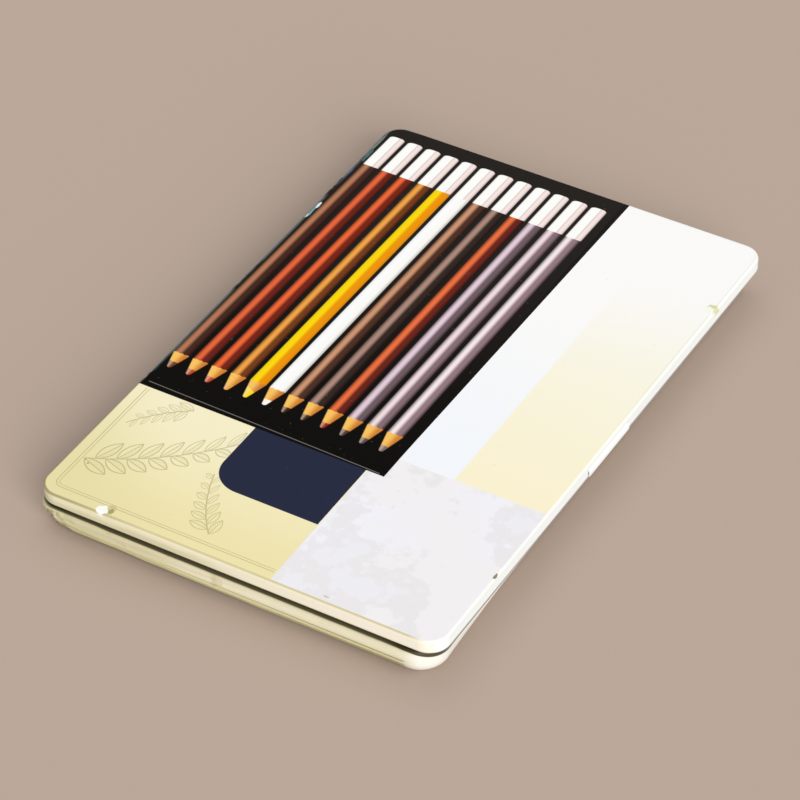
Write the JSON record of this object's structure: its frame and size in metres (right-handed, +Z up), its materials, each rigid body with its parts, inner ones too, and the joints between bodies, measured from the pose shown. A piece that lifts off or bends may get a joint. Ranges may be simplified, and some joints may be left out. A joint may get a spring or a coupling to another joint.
{
  "type": "colored pencil tin",
  "caption": "Flat hinged tinplate tin of colored pencils: drawn base and lid on curled hinges, flared thumb lip, paper label, vacuum-formed tray with grooves and a finger well.",
  "frame": {"origin": "middle of the closed tin, on the surface it rests on", "axes": "+X along the pencils towards their dipped ends, +Y towards the hinges, +Z up through the lid"},
  "size_m": [0.195, 0.1282, 0.0141],
  "materials": {
    "base_tinplate": "cream gloss lacquer on tinplate, worn at the rims",
    "pin_steel": "drawn steel wire",
    "tray_plastic": "vacuum-formed sheet, satin",
    "lid_tinplate": "cream and white gloss print and lacquer on tinplate, rubbed at the edges",
    "label_paper": "coated paper, printed black with a row of pencils",
    "pencil_paint_1": "lacquered cedar with a white dipped end",
    "pencil_paint_2": "lacquered cedar with a white dipped end",
    "pencil_paint_3": "lacquered cedar with a white dipped end",
    "pencil_paint_4": "lacquered cedar with a white dipped end",
    "pencil_paint_5": "lacquered cedar with a white dipped end",
    "pencil_paint_6": "lacquered cedar with a white dipped end",
    "pencil_paint_7": "lacquered cedar with a white dipped end",
    "pencil_paint_8": "lacquered cedar with a white dipped end",
    "pencil_paint_9": "lacquered cedar with a white dipped end",
    "pencil_paint_10": "lacquered cedar with a white dipped end",
    "pencil_paint_11": "lacquered cedar with a white dipped end",
    "pencil_paint_12": "lacquered cedar with a white dipped end",
    "pencil_lead_1": "waxy pigment core",
    "pencil_lead_2": "waxy pigment core",
    "pencil_lead_3": "waxy pigment core",
    "pencil_lead_4": "waxy pigment core",
    "pencil_lead_5": "waxy pigment core",
    "pencil_lead_6": "waxy pigment core",
    "pencil_lead_7": "waxy pigment core",
    "pencil_lead_8": "waxy pigment core",
    "pencil_lead_9": "waxy pigment core",
    "pencil_lead_10": "waxy pigment core",
    "pencil_lead_11": "waxy pigment core",
    "pencil_lead_12": "waxy pigment core"
  },
  "bodies": {
    "base": {"base_pan": "base_tinplate", "hinge_pin_near": "pin_steel", "hinge_pin_far": "pin_steel", "insert_tray": "tray_plastic"},
    "lid": {"lid": "lid_tinplate", "picture_label": "label_paper"},
    "pencil_1": {"pencil_casing_1": "pencil_paint_1", "pencil_core_1": "pencil_lead_1"},
    "pencil_2": {"pencil_casing_2": "pencil_paint_2", "pencil_core_2": "pencil_lead_2"},
    "pencil_3": {"pencil_casing_3": "pencil_paint_3", "pencil_core_3": "pencil_lead_3"},
    "pencil_4": {"pencil_casing_4": "pencil_paint_4", "pencil_core_4": "pencil_lead_4"},
    "pencil_5": {"pencil_casing_5": "pencil_paint_5", "pencil_core_5": "pencil_lead_5"},
    "pencil_6": {"pencil_casing_6": "pencil_paint_6", "pencil_core_6": "pencil_lead_6"},
    "pencil_7": {"pencil_casing_7": "pencil_paint_7", "pencil_core_7": "pencil_lead_7"},
    "pencil_8": {"pencil_casing_8": "pencil_paint_8", "pencil_core_8": "pencil_lead_8"},
    "pencil_9": {"pencil_casing_9": "pencil_paint_9", "pencil_core_9": "pencil_lead_9"},
    "pencil_10": {"pencil_casing_10": "pencil_paint_10", "pencil_core_10": "pencil_lead_10"},
    "pencil_11": {"pencil_casing_11": "pencil_paint_11", "pencil_core_11": "pencil_lead_11"},
    "pencil_12": {"pencil_casing_12": "pencil_paint_12", "pencil_core_12": "pencil_lead_12"}
  },
  "joints": [
    {"name": "lid_hinge", "type": "hinge", "parent": "base", "child": "lid", "pos_m": [0, 0.06326, 0.00788], "axis": [-1, 0, 0], "range_deg": [0, 120]},
    {"name": "pencil_1_end_play", "type": "slide", "parent": "base", "child": "pencil_1", "axis": [1, 0, 0], "range_m": [-0.0014, 0.0014]},
    {"name": "pencil_2_end_play", "type": "slide", "parent": "base", "child": "pencil_2", "axis": [1, 0, 0], "range_m": [-0.0014, 0.0014]},
    {"name": "pencil_3_end_play", "type": "slide", "parent": "base", "child": "pencil_3", "axis": [1, 0, 0], "range_m": [-0.0014, 0.0014]},
    {"name": "pencil_4_end_play", "type": "slide", "parent": "base", "child": "pencil_4", "axis": [1, 0, 0], "range_m": [-0.0014, 0.0014]},
    {"name": "pencil_5_end_play", "type": "slide", "parent": "base", "child": "pencil_5", "axis": [1, 0, 0], "range_m": [-0.0014, 0.0014]},
    {"name": "pencil_6_end_play", "type": "slide", "parent": "base", "child": "pencil_6", "axis": [1, 0, 0], "range_m": [-0.0014, 0.0014]},
    {"name": "pencil_7_end_play", "type": "slide", "parent": "base", "child": "pencil_7", "axis": [1, 0, 0], "range_m": [-0.0014, 0.0014]},
    {"name": "pencil_8_end_play", "type": "slide", "parent": "base", "child": "pencil_8", "axis": [1, 0, 0], "range_m": [-0.0014, 0.0014]},
    {"name": "pencil_9_end_play", "type": "slide", "parent": "base", "child": "pencil_9", "axis": [1, 0, 0], "range_m": [-0.0014, 0.0014]},
    {"name": "pencil_10_end_play", "type": "slide", "parent": "base", "child": "pencil_10", "axis": [1, 0, 0], "range_m": [-0.0014, 0.0014]},
    {"name": "pencil_11_end_play", "type": "slide", "parent": "base", "child": "pencil_11", "axis": [1, 0, 0], "range_m": [-0.0014, 0.0014]},
    {"name": "pencil_12_end_play", "type": "slide", "parent": "base", "child": "pencil_12", "axis": [1, 0, 0], "range_m": [-0.0014, 0.0014]}
  ]
}
